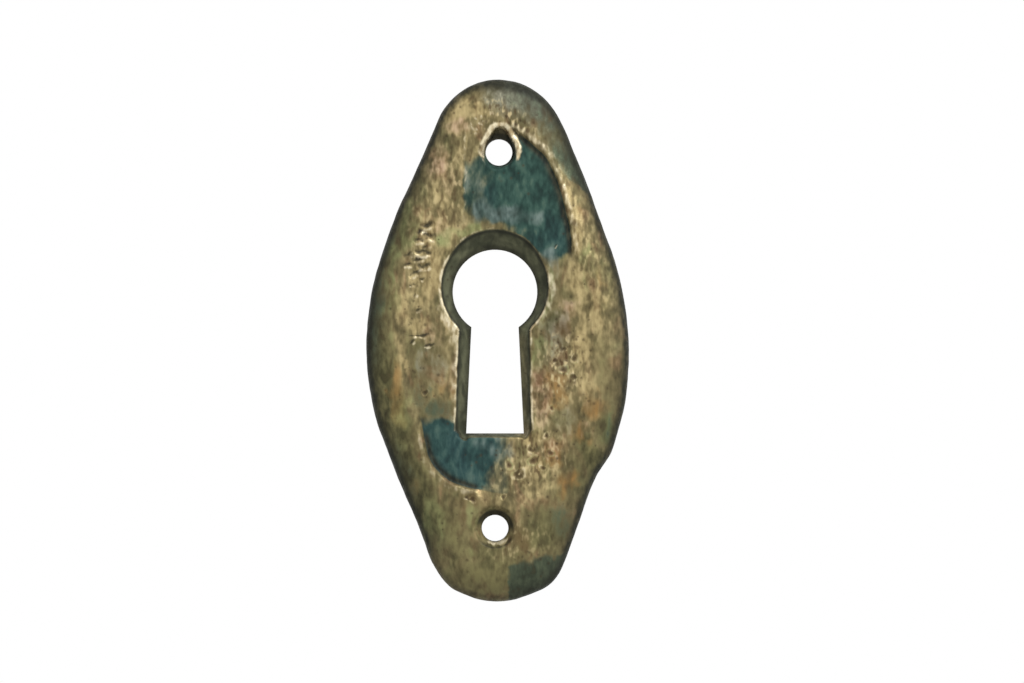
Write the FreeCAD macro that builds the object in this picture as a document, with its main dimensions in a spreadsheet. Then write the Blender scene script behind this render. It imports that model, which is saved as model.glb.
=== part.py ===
"""Keyhole escutcheon: one cast brass plate for a drawer or cabinet lock.

The plate stands upright, as it is fixed to a drawer front. Its flat back lies in the plane y = 0, its
front faces -Y, +Z is up and +X is to the right of someone who looks at it. The origin is halfway between
the two screw holes, in the plane of the back. All lengths are millimetres, all angles degrees.

The plate is an uneven, hand-finished oval with two rounded ends. A domed rim runs around a shallow
egg-shaped field. The keyhole is bevelled from the front, and a small hole for a screw is near each end.
"""
import FreeCAD, Part
import math
import os
import Sketcher

SIZES = {
    # thickness, from the back to the crest of the rim
    "rim_thickness": 2.8,
    "field_depth": 0.35,
    # rounded front edge of the rim
    "edge_drop": 1.2,
    "edge_width": 2.3,
    "edge_round": 1.4,
    "crest_round": 5.0,
    # round ends of the outline
    "top_reach": 25.36,
    "top_cap_radius": 6.33,
    "top_cap_shift": 0.14,
    "bottom_reach": 25.44,
    "bottom_cap_radius": 7.4,
    # belly of the outline, its widest place, and the straight flanks between it and the ends
    "belly_level": -1.14,
    "left_reach": 12.76,
    "left_upper_flank": 11.8,
    "left_lower_flank": 12.35,
    "right_reach": 12.83,
    "right_upper_flank": 12.6,
    "right_lower_flank": 10.85,
    # step low on the right side, where the outline turns in short of that flank
    "step_length": 1.55,
    "step_turn": 11.0,
    "step_shoulder_radius": 3.2,
    "step_hollow_radius": 2.6,
    # egg-shaped field
    "field_top": 20.6,
    "field_top_radius": 5.6,
    "field_bottom": -15.16,
    "field_bottom_radius": 8.0,
    "field_side_radius": 43.0,
    "field_wall_run": 0.4,
    # keyhole
    "key_axis": -0.2,
    "key_round_level": 4.7,
    "key_round_radius": 4.12,
    "key_slot_top_half": 2.3,
    "key_slot_bottom_half": 2.8,
    "key_slot_bottom": -9.07,
    # bevel around the keyhole, on the front
    "bevel_depth": 1.35,
    "bevel_round": 1.13,
    "bevel_lift": 0.5,
    "bevel_slot_top": 1.06,
    "bevel_slot_bottom": 0.95,
    "bevel_foot": 0.35,
    # screw holes
    "screw_spacing": 36.54,
    "screw_sidestep": 0.19,
    "screw_radius": 1.3,
    "sink_radius": 1.7,
    "sink_angle": 90.0,
    # notch above the top screw hole, sunk from the rim's level to this depth under the field
    "notch_radius": 1.45,
    "notch_tip_radius": 0.7,
    "notch_reach": 1.75,
    "notch_depth": 0.8,
}

# the points of a sketched item, by the numbers that its sketch gives them
START, END, CENTRE = range(1, 4)

# two heights closer than this are the same
TOUCH = 1e-6

document = FreeCAD.newDocument("keyhole_escutcheon")
sheet = document.addObject("Spreadsheet::Sheet", "Sizes")
for row, (name, size) in enumerate(SIZES.items(), start=1):
    sheet.set("A%d" % row, name)
    sheet.set("B%d" % row, str(size))
    sheet.setAlias("B%d" % row, name)
document.recompute()

body = document.addObject("PartDesign::Body", "Plate")
body.Label = "escutcheon_plate"


def value(name):
    """A driving size, read from the sheet."""
    return float(sheet.get(name))


def measured(formula):
    """The number that a formula of the sheet's sizes gives."""
    return float(sheet.evalExpression(formula))


def point(x, z):
    return FreeCAD.Vector(x, z, 0)


def along(angle, centre, distance):
    """The point at a distance from the centre, in the direction of an angle."""
    turn = math.radians(angle)
    return centre + point(distance * math.cos(turn), distance * math.sin(turn))


def common_normal(centre_a, radius_a, centre_b, radius_b, side):
    """Direction of the normal that two circles share on one of their common tangent lines.

    side is 1 or -1. A negative radius puts that circle on the other side of the line.
    """
    between = centre_b - centre_a
    spread = math.acos((radius_a - radius_b) / between.Length)
    return math.degrees(math.atan2(between.y, between.x) + side * spread) % 360


def arc(centre, radius, start_angle, end_angle):
    """An arc that runs anticlockwise from one angle to the other."""
    circle = Part.Circle(centre, FreeCAD.Vector(0, 0, 1), radius)
    return Part.ArcOfCircle(circle, math.radians(start_angle), math.radians(end_angle))


class Profile:
    """A sketch in a plane parallel to the back, at some height in front of it."""

    def __init__(self, name, height="0"):
        self.sketch = body.newObject("Sketcher::SketchObject", name)
        upright = [item for item in body.Origin.OriginFeatures if item.Role == "XZ_Plane"][0]
        self.sketch.AttachmentSupport = (upright, [""])
        self.sketch.MapMode = "FlatFace"
        self.sketch.setExpression("AttachmentOffset.Base.z", height)

    def add(self, shape):
        return self.sketch.addGeometry(shape, False)

    def rule(self, kind, *terms):
        return self.sketch.addConstraint(Sketcher.Constraint(kind, *terms))

    def size(self, formula, kind, *terms):
        """A dimension that follows a formula of the sheet's sizes."""
        index = self.rule(kind, *terms)
        self.sketch.setExpression("Constraints[%d]" % index, formula)

    def across(self, item, end, formula):
        """Sets how far a point lies to the right of the origin."""
        self.size(formula, "DistanceX", -1, START, item, end, self.sketch.getPoint(item, end).x)

    def up(self, item, end, formula):
        """Sets how far a point lies above the origin."""
        self.size(formula, "DistanceY", -1, START, item, end, self.sketch.getPoint(item, end).y)

    def radius(self, item, formula):
        self.size(formula, "Radius", item, self.sketch.Geometry[item].Radius)

    def length(self, item, formula):
        self.size(formula, "Distance", item, self.sketch.Geometry[item].length())

    def smooth(self, chain):
        """Joins each item's end to the start of the next one, tangent to it."""
        for item, following in zip(chain, chain[1:]):
            self.rule("Tangent", item, END, following, START)

    def meet(self, chain):
        """Joins each item's end to the start of the next one, with a corner."""
        for item, following in zip(chain, chain[1:]):
            self.rule("Coincident", item, END, following, START)

    def solved(self):
        document.recompute()
        if self.sketch.solve() != 0:
            raise RuntimeError("sketch %s has no solution" % self.sketch.Name)
        return self.sketch


def belly_radius(reach, cap_radius, cap_distance, flank):
    """Radius of a belly arc that a straight flank of a given length joins to a round end.

    reach is how far the belly stands out from the centre of the round end, and cap_distance is how far
    that centre lies above or below the belly's widest place.
    """
    return (reach ** 2 + cap_distance ** 2 - cap_radius ** 2 - flank ** 2) / (2 * (reach - cap_radius))


def outline_profile():
    """The plate's outline: two round ends, two bellied sides and the step low on the right."""
    profile = Profile("Outline")
    belly = value("belly_level")
    left_reach = value("left_reach")
    right_reach = value("right_reach")
    top_radius = value("top_cap_radius")
    bottom_radius = value("bottom_cap_radius")
    shoulder_radius = value("step_shoulder_radius")
    hollow_radius = value("step_hollow_radius")

    top = point(value("top_cap_shift"), value("top_reach") - top_radius)
    bottom = point(0, bottom_radius - value("bottom_reach"))
    left_upper_radius = belly_radius(
        left_reach + top.x, top_radius, top.y - belly, value("left_upper_flank"))
    left_lower_radius = belly_radius(
        left_reach, bottom_radius, belly - bottom.y, value("left_lower_flank"))
    right_upper_radius = belly_radius(
        right_reach - top.x, top_radius, top.y - belly, value("right_upper_flank"))
    right_lower_radius = belly_radius(
        right_reach, bottom_radius, belly - bottom.y, value("right_lower_flank"))
    left_upper = point(left_upper_radius - left_reach, belly)
    left_lower = point(left_lower_radius - left_reach, belly)
    right_upper = point(right_reach - right_upper_radius, belly)
    right_lower = point(right_reach - right_lower_radius, belly)

    # directions in which the sloping flanks face
    high_left = common_normal(top, top_radius, left_upper, left_upper_radius, -1)
    low_left = common_normal(left_lower, left_lower_radius, bottom, bottom_radius, -1)
    high_right = common_normal(top, top_radius, right_upper, right_upper_radius, 1)

    lost_right = common_normal(right_lower, right_lower_radius, bottom, bottom_radius, 1)

    # the step turns in from the end of the belly, over a convex shoulder, and ends in a hollow, from
    # which the low flank runs to the round end a little inside its lost line
    shoulder = along(lost_right, right_lower, right_lower_radius - shoulder_radius)
    step_normal = lost_right - value("step_turn")
    step_top = along(step_normal, shoulder, shoulder_radius)
    step_foot = along(step_normal - 90, step_top, value("step_length"))
    hollow = along(step_normal, step_foot, hollow_radius)
    low_right = common_normal(hollow, -hollow_radius, bottom, bottom_radius, 1)

    top_cap = profile.add(arc(top, top_radius, high_right, high_left))
    high_left_flank = profile.add(Part.LineSegment(
        along(high_left, top, top_radius), along(high_left, left_upper, left_upper_radius)))
    left_upper_belly = profile.add(arc(left_upper, left_upper_radius, high_left, 180))
    left_lower_belly = profile.add(arc(left_lower, left_lower_radius, 180, low_left))
    low_left_flank = profile.add(Part.LineSegment(
        along(low_left, left_lower, left_lower_radius), along(low_left, bottom, bottom_radius)))
    bottom_cap = profile.add(arc(bottom, bottom_radius, low_left, low_right))
    low_right_flank = profile.add(Part.LineSegment(
        along(low_right, bottom, bottom_radius), along(low_right, hollow, -hollow_radius)))
    step_hollow = profile.add(arc(hollow, hollow_radius, step_normal - 180, low_right - 180))
    step = profile.add(Part.LineSegment(step_foot, step_top))
    step_shoulder = profile.add(arc(shoulder, shoulder_radius, step_normal, lost_right))
    right_lower_belly = profile.add(arc(right_lower, right_lower_radius, lost_right, 360))
    right_upper_belly = profile.add(arc(right_upper, right_upper_radius, 0, high_right))
    high_right_flank = profile.add(Part.LineSegment(
        along(high_right, right_upper, right_upper_radius), along(high_right, top, top_radius)))

    lost_flank = profile.sketch.addGeometry(Part.LineSegment(
        along(lost_right, bottom, bottom_radius), along(lost_right, right_lower, right_lower_radius)), True)

    # the hollow turns the other way, so its two ends change places
    profile.smooth([step, step_shoulder, right_lower_belly, right_upper_belly, high_right_flank, top_cap,
                    high_left_flank, left_upper_belly, left_lower_belly, low_left_flank, bottom_cap,
                    low_right_flank])
    profile.rule("Tangent", low_right_flank, END, step_hollow, END)
    profile.rule("Tangent", step_hollow, START, step, START)

    profile.radius(top_cap, "Sizes.top_cap_radius")
    profile.across(top_cap, CENTRE, "Sizes.top_cap_shift")
    profile.up(top_cap, CENTRE, "Sizes.top_reach - Sizes.top_cap_radius")
    profile.radius(bottom_cap, "Sizes.bottom_cap_radius")
    profile.across(bottom_cap, CENTRE, "0")
    profile.up(bottom_cap, CENTRE, "Sizes.bottom_cap_radius - Sizes.bottom_reach")

    profile.across(left_lower_belly, START, "-Sizes.left_reach")
    profile.up(left_lower_belly, START, "Sizes.belly_level")
    profile.up(left_upper_belly, CENTRE, "Sizes.belly_level")
    profile.length(high_left_flank, "Sizes.left_upper_flank")
    profile.length(low_left_flank, "Sizes.left_lower_flank")

    profile.across(right_upper_belly, START, "Sizes.right_reach")
    profile.up(right_upper_belly, START, "Sizes.belly_level")
    profile.up(right_upper_belly, CENTRE, "Sizes.belly_level")
    profile.length(high_right_flank, "Sizes.right_upper_flank")
    profile.rule("Tangent", lost_flank, END, right_lower_belly, START)
    profile.rule("Tangent", lost_flank, START, bottom_cap)
    profile.length(lost_flank, "Sizes.right_lower_flank")

    profile.radius(step_shoulder, "Sizes.step_shoulder_radius")
    profile.radius(step_hollow, "Sizes.step_hollow_radius")
    profile.length(step, "Sizes.step_length")
    profile.size("-Sizes.step_turn", "Angle", lost_flank, step, -math.radians(value("step_turn")))
    return profile.solved()


def field_profile(name, height, inset):
    """The outline of the sunk field: an egg of four arcs, with the blunter end down.

    inset is a formula that says how far the outline lies inside the field's lip.
    """
    profile = Profile(name, height)
    top_radius = value("field_top_radius") - measured(inset)
    bottom_radius = value("field_bottom_radius") - measured(inset)
    side_radius = value("field_side_radius") - measured(inset)
    top = point(0, value("field_top") - value("field_top_radius"))
    bottom = point(0, value("field_bottom") + value("field_bottom_radius"))

    # each side arc touches both end arcs from outside
    to_top = side_radius - top_radius
    to_bottom = side_radius - bottom_radius
    between = top.y - bottom.y
    rise = (to_bottom ** 2 - to_top ** 2 + between ** 2) / (2 * between)
    shift = math.sqrt(to_bottom ** 2 - rise ** 2)
    high_turn = math.degrees(math.asin((between - rise) / to_top))
    low_turn = math.degrees(math.asin(rise / to_bottom))

    top_arc = profile.add(arc(top, top_radius, high_turn, 180 - high_turn))
    left_arc = profile.add(arc(point(shift, bottom.y + rise), side_radius, 180 - high_turn, 180 + low_turn))
    bottom_arc = profile.add(arc(bottom, bottom_radius, 180 + low_turn, 360 - low_turn))
    right_arc = profile.add(arc(point(-shift, bottom.y + rise), side_radius, -low_turn, high_turn))
    profile.smooth([top_arc, left_arc, bottom_arc, right_arc, top_arc])

    profile.radius(top_arc, "Sizes.field_top_radius - (%s)" % inset)
    profile.across(top_arc, CENTRE, "0")
    profile.up(top_arc, CENTRE, "Sizes.field_top - Sizes.field_top_radius")
    profile.radius(bottom_arc, "Sizes.field_bottom_radius - (%s)" % inset)
    profile.across(bottom_arc, CENTRE, "0")
    profile.up(bottom_arc, CENTRE, "Sizes.field_bottom + Sizes.field_bottom_radius")
    profile.radius(left_arc, "Sizes.field_side_radius - (%s)" % inset)
    profile.radius(right_arc, "Sizes.field_side_radius - (%s)" % inset)
    return profile.solved()


def key_profile(name, height, round_radius, round_level, top_half, bottom_half, slot_bottom):
    """A keyhole: a round hole above a slot that widens a little towards its foot.

    Every measure is a formula of the sheet's sizes.
    """
    profile = Profile(name, height)
    axis = value("key_axis")
    radius, level, high_half, low_half, foot = [
        measured(formula) for formula in (round_radius, round_level, top_half, bottom_half, slot_bottom)]
    turn = math.degrees(math.acos(high_half / radius))
    centre = point(axis, level)

    round_hole = profile.add(arc(centre, radius, -turn, 180 + turn))
    left_top = along(180 + turn, centre, radius)
    right_top = along(-turn, centre, radius)
    left_side = profile.add(Part.LineSegment(left_top, point(axis - low_half, foot)))
    slot_foot = profile.add(Part.LineSegment(point(axis - low_half, foot), point(axis + low_half, foot)))
    right_side = profile.add(Part.LineSegment(point(axis + low_half, foot), right_top))
    profile.meet([round_hole, left_side, slot_foot, right_side, round_hole])

    profile.radius(round_hole, round_radius)
    profile.across(round_hole, CENTRE, "Sizes.key_axis")
    profile.up(round_hole, CENTRE, round_level)
    profile.across(left_side, START, "Sizes.key_axis - (%s)" % top_half)
    profile.across(right_side, END, "Sizes.key_axis + (%s)" % top_half)
    profile.across(slot_foot, START, "Sizes.key_axis - (%s)" % bottom_half)
    profile.up(slot_foot, START, slot_bottom)
    profile.across(slot_foot, END, "Sizes.key_axis + (%s)" % bottom_half)
    profile.up(slot_foot, END, slot_bottom)
    return profile.solved()


def notch_profile(height):
    """A teardrop: a round end over the top screw hole and a narrow tip above it."""
    profile = Profile("Notch", height)
    radius = value("notch_radius")
    tip_radius = value("notch_tip_radius")
    low = point(value("screw_sidestep"), value("screw_spacing") / 2)
    high = low + point(0, value("notch_reach"))
    right_normal = common_normal(low, radius, high, tip_radius, -1)
    left_normal = common_normal(low, radius, high, tip_radius, 1)

    tip = profile.add(arc(high, tip_radius, right_normal, left_normal))
    left_side = profile.add(Part.LineSegment(
        along(left_normal, high, tip_radius), along(left_normal, low, radius)))
    round_end = profile.add(arc(low, radius, left_normal, right_normal))
    right_side = profile.add(Part.LineSegment(
        along(right_normal, low, radius), along(right_normal, high, tip_radius)))
    profile.smooth([tip, left_side, round_end, right_side, tip])

    profile.radius(tip, "Sizes.notch_tip_radius")
    profile.across(tip, CENTRE, "Sizes.screw_sidestep")
    profile.up(tip, CENTRE, "Sizes.screw_spacing / 2 + Sizes.notch_reach")
    profile.radius(round_end, "Sizes.notch_radius")
    profile.across(round_end, CENTRE, "Sizes.screw_sidestep")
    profile.up(round_end, CENTRE, "Sizes.screw_spacing / 2")
    return profile.solved()


def screw_profile(name, height, side):
    """The centre circle of one screw hole; side is 1 for the top hole and -1 for the bottom one."""
    profile = Profile(name, height)
    centre = point(side * value("screw_sidestep"), side * value("screw_spacing") / 2)
    circle = profile.add(Part.Circle(centre, FreeCAD.Vector(0, 0, 1), value("screw_radius")))
    profile.radius(circle, "Sizes.screw_radius")
    profile.across(circle, CENTRE, "%d * Sizes.screw_sidestep" % side)
    profile.up(circle, CENTRE, "%d * Sizes.screw_spacing / 2" % side)
    return profile.solved()


def feature(kind, name, formulas, **settings):
    """Adds a feature to the body, binds its sizes to the sheet and works it out."""
    made = body.newObject("PartDesign::" + kind, name)
    for setting, choice in settings.items():
        setattr(made, setting, choice)
    for setting, formula in formulas.items():
        made.setExpression(setting, formula)
    document.recompute()
    return made


def cut(kind, name, formulas, **settings):
    """A feature that takes metal away; one that takes nothing is an error."""
    before = body.Shape.Volume
    made = feature(kind, name, formulas, **settings)
    if made.Shape.isNull() or made.Shape.Volume >= before:
        raise RuntimeError("%s cuts nothing" % name)
    return made


def edge_names(solid, wanted):
    return ["Edge%d" % number for number, edge in enumerate(solid.Edges, start=1) if wanted(edge)]


def level_edges(solid, height):
    """Names of the edges that lie all at one height in front of the back."""
    def lies_there(edge):
        box = edge.BoundBox
        return abs(box.YMin + height) < TOUCH and abs(box.YMax + height) < TOUCH
    return edge_names(solid, lies_there)


# the blank and its domed edge
blank = feature("Pad", "Blank", {"Length": "Sizes.rim_thickness"}, Profile=outline_profile())
slope = cut("Chamfer", "RimSlope", {"Size": "Sizes.edge_drop", "Size2": "Sizes.edge_width"},
            Base=(blank, level_edges(blank.Shape, value("rim_thickness"))), ChamferType="Two distances")
shoulder_height = value("rim_thickness") - value("edge_drop")
rounding = cut("Fillet", "RimShoulder", {"Radius": "Sizes.edge_round"},
               Base=(slope, level_edges(slope.Shape, shoulder_height)))
cut("Fillet", "RimCrest", {"Radius": "Sizes.crest_round"},
    Base=(rounding, level_edges(rounding.Shape, value("rim_thickness"))))

# the sunk field, with a sloping wall; the cut is made from as far above the crest as the field is deep
FIELD_HEIGHT = "Sizes.rim_thickness - Sizes.field_depth"
lip = field_profile("FieldLip", "Sizes.rim_thickness + Sizes.field_depth", "-Sizes.field_wall_run")
floor = field_profile("FieldFloor", FIELD_HEIGHT, "Sizes.field_wall_run")
cut("SubtractiveLoft", "Field", {}, Profile=lip, Sections=[floor], Ruled=True)

# the keyhole, straight through, and its bevel from the front
through = key_profile("KeyOpening", FIELD_HEIGHT + " - Sizes.bevel_depth", "Sizes.key_round_radius",
                      "Sizes.key_round_level", "Sizes.key_slot_top_half", "Sizes.key_slot_bottom_half",
                      "Sizes.key_slot_bottom")
bevel_rim = key_profile("BevelRim", FIELD_HEIGHT, "Sizes.key_round_radius + Sizes.bevel_round",
                        "Sizes.key_round_level + Sizes.bevel_lift",
                        "Sizes.key_slot_top_half + Sizes.bevel_slot_top",
                        "Sizes.key_slot_bottom_half + Sizes.bevel_slot_bottom",
                        "Sizes.key_slot_bottom - Sizes.bevel_foot")
cut("SubtractiveLoft", "KeyBevel", {}, Profile=bevel_rim, Sections=[through], Ruled=True)
cut("Pocket", "Keyhole", {}, Profile=through, Type="ThroughAll", Midplane=True)

# the screw holes, each countersunk from the surface in front of it, and the notch above the top one
SCREW_SIZES = {
    "Diameter": "2 * Sizes.screw_radius",
    "HoleCutDiameter": "2 * Sizes.sink_radius",
    "HoleCutCountersinkAngle": "Sizes.sink_angle",
}
for name, height, side in (("Top", FIELD_HEIGHT, 1), ("Bottom", "Sizes.rim_thickness", -1)):
    centre = screw_profile(name + "Screw", height, side)
    cut("Hole", name + "ScrewHole", SCREW_SIZES, Profile=centre, DepthType="ThroughAll",
        HoleCutType="Countersink", HoleCutCustomValues=True)
cut("Pocket", "ScrewNotch", {"Length": "Sizes.field_depth + Sizes.notch_depth"},
    Profile=notch_profile("Sizes.rim_thickness"))

# check everything, then write the plate
document.recompute()
for item in document.Objects:
    if "Invalid" in item.State or "Error" in item.State:
        raise RuntimeError("%s failed" % item.Name)
plate = body.Shape
if plate.isNull() or not plate.isValid() or len(plate.Solids) != 1:
    raise RuntimeError("the plate isn't one sound solid")
os.makedirs("parts", exist_ok=True)
plate.exportStep(os.path.join("parts", body.Label + ".step"))
print("%s: %.1f cubic millimetres" % (body.Label, plate.Volume))
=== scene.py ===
"""Looks of an old cast brass keyhole escutcheon.

One piece, the worn plate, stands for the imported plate. Its outline, keyhole and screw holes are read from
the frame, and the worn surface between them is worked out here. Lengths are millimetres until the mesh is
made. A point's height is its distance in front of the flat back, which is -Y in the frame.
"""
import math

import bpy
import numpy as np
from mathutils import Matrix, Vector
from mathutils.bvhtree import BVHTree
from mathutils.geometry import delaunay_2d_cdt
from mathutils.kdtree import KDTree


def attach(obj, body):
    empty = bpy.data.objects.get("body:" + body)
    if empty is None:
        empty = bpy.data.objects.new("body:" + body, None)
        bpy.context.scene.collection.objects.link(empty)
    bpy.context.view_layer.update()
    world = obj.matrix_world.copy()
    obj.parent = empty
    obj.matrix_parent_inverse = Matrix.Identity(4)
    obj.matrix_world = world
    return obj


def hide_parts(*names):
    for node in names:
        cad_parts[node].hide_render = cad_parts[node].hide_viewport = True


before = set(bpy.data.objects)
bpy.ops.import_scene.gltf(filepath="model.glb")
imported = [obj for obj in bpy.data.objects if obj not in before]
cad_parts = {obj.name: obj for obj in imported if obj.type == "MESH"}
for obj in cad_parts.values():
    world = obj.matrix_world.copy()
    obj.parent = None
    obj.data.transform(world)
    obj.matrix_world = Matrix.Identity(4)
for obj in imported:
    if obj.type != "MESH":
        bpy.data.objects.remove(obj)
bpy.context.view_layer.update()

NODE = "escutcheon_plate"
MM = 0.001
SEED = 11

# spacing of the mesh, and the angle in degrees from which its edges stay sharp
FRONT_STEP = 0.13
BACK_STEP = 0.36
WALL_STEP = 0.16
SHARP_ANGLE = 48

# extra rows of points where the front bends: distances in from the outline, out from the screw holes and out
# from the field's edge, and for the bevel a share of its width and a distance beyond it
OUTLINE_ROWS = (0.03, 0.09, 0.18, 0.29)
HOLE_ROWS = (0.1, 0.22, 0.34, 0.44, 0.56)
FIELD_ROWS = (-0.06, 0.05, 0.16, 0.28, 0.40, -0.18)
BEVEL_ROWS = [(0.1, 0), (0.28, 0), (0.5, 0), (0.75, 0), (0.92, 0), (1, 0.03), (1, 0.12), (1, 0.22)]

# section of the rim, from the side wall over the shoulder and the slope to the crest
RIM_THICKNESS = 2.8
SHOULDER_FOOT = 0.752
SHOULDER_ROUND = 1.4
SLOPE_FROM, SLOPE_TO = 0.752, 1.213
SLOPE_START = 1.6
SLOPE_RISE = 1.2 / 2.3
CREST_ROUND = 5.0
CREST_FROM = 3.526

# sunk field: an egg of four arcs, with a wall that is steep where the lip is still crisp
FIELD_DEPTH = 0.35
FIELD_TOP = 20.6
FIELD_TOP_RADIUS = 5.6
FIELD_BOTTOM = -15.16
FIELD_BOTTOM_RADIUS = 8.0
FIELD_SIDE_RADIUS = 43.0
FIELD_FLOOR = RIM_THICKNESS - FIELD_DEPTH
FIELD_MIDDLE = 2.0
CRISP_WALL = 0.3
WORN_WALL = 3.4

# countersinks of the screw holes and the notch above the top one
SINK_RADIUS = 1.75
SINK_SHIFT = 0.12
NOTCH_SHIFT = 0.12
NOTCH_RADIUS = 1.42
NOTCH_TIP_RADIUS = 0.75
NOTCH_REACH = 1.53
NOTCH_DEPTH = 0.8

# camera and lamps, in millimetres, watts and pixels of the picture
CAMERA_PLACE = (1.46, -551.0, -0.12)
PIXELS_PER_MM = 10.276
PICTURE_WIDTH = 1024
LAMPS = [
    ("key", (300, -400, 460), 260, 4.0),
    ("fill", (-450, -500, 100), 400, 0.4),
]
SKY_LIGHT = 0.38
FLOOR_LEVEL = -60.0

# knocks and hand filing of the outline: x, z, outward push, reach
OUTLINE_KNOCKS = [
    (8.6, 16.5, 0.25, 5.0),
    (6.8, 20.2, 0.07, 1.5),
    (-9.2, 13.0, 0.17, 3.0),
    (-12.4, -4.6, -0.08, 3.0),
    (10.9, -10.8, 0.20, 2.2),
    (12.4, -6.2, 0.13, 2.6),
    (9.8, -13.0, 0.12, 1.3),
    (-7.9, -18.8, -0.25, 3.8),
    (5.2, -23.4, 0.32, 1.8),
    (-4.6, -24.3, 0.16, 1.2),
]

# where the field's uneven edge lies further in: x, z, inward push, reach
FIELD_SHIFTS = [
    (-8.2, -8.6, 0.80, 2.6),
    (-1.6, -15.2, 0.45, 2.4),
    (3.4, 18.9, 0.30, 1.4),
    (8.3, 8.0, 0.65, 2.4),
    (7.0, 12.2, 0.15, 2.0),
]

# blisters of the casting that broke open: x, z, radius; the first one still has its core
OPEN_BLISTERS = [
    (2.14, -13.00, 0.62),
    (6.46, -2.86, 0.50),
    (7.56, -1.76, 0.44),
    (7.45, -3.55, 0.34),
    (6.40, -0.84, 0.36),
    (5.65, -1.95, 0.30),
    (3.52, -11.68, 0.52),
    (1.15, -12.10, 0.44),
    (3.25, -10.60, 0.38),
    (5.17, -10.94, 0.38),
    (4.45, -12.40, 0.30),
    (4.80, -9.29, 0.34),
    (5.30, -6.60, 0.28),
    (-6.96, -5.07, 0.34),
    (-2.36, -15.45, 0.34),
    (0.62, -15.20, 0.30),
]

# gouges: x, z, length, direction in degrees, width, depth
GOUGES = [
    (-6.75, 11.25, 1.30, 6, 0.44, 0.20),
    (-7.30, 10.65, 1.10, 24, 0.36, 0.16),
    (-6.60, 10.20, 1.50, -8, 0.48, 0.20),
    (-7.45, 9.75, 1.20, 12, 0.38, 0.16),
    (-6.90, 9.15, 0.80, 34, 0.34, 0.14),
    (-7.15, 8.60, 1.90, -4, 0.46, 0.20),
    (-8.55, 8.35, 0.90, 30, 0.34, 0.13),
    (-7.60, 7.95, 1.30, 18, 0.42, 0.18),
    (-8.60, 7.35, 0.90, -14, 0.32, 0.12),
    (-7.10, 7.25, 1.50, 10, 0.46, 0.20),
    (-8.00, 6.55, 1.30, 28, 0.38, 0.16),
    (-7.30, 5.95, 0.80, -12, 0.30, 0.12),
    (-8.15, 5.35, 0.70, 8, 0.26, 0.09),
    (-7.90, 4.30, 0.60, 76, 0.22, 0.07),
    (-7.55, 3.00, 0.70, 20, 0.24, 0.08),
    (-7.40, 0.50, 2.40, 4, 0.30, 0.12),
    (-8.30, -0.20, 0.90, 40, 0.26, 0.10),
    (-6.60, -0.45, 1.20, 8, 0.22, 0.08),
    (5.75, 9.10, 0.50, 45, 0.18, 0.08),
    (-2.60, -15.35, 1.30, -22, 0.18, 0.10),
]

# small pits: how many, from and to in x, from and to in z, largest radius
SMALLEST_PIT = 0.07
SHALLOWEST_PIT, DEEPEST_PIT = 0.012, 0.055
PIT_FIELDS = [
    (300, (-12.5, 12.5), (-25.0, 25.0), 0.17),
    (130, (2.8, 9.5), (-12.0, 7.0), 0.20),
    (70, (-4.0, 5.0), (-21.5, -11.0), 0.20),
    (60, (-9.0, -3.5), (-7.0, 6.0), 0.20),
    (60, (-8.0, 4.0), (17.0, 24.0), 0.18),
]

# masks of the material that each colour attribute of the mesh holds
ATTRIBUTES = {
    "patina": ("teal", "bloom", "green", "grey"),
    "tones": ("gold", "olive", "orange", "pink"),
    # the edge band and the mask under the lip and in the holes hold painted shade as well as grime; the
    # bright mask holds painted highlights as well as rubbed metal
    "wear_and_painted_light": ("edge", "dirt_and_shade", "polish_and_highlight", "rust"),
    "places": ("bevel", "black", "blue", "flecks"),
    "greens": ("lime",) * 4,
}

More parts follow.
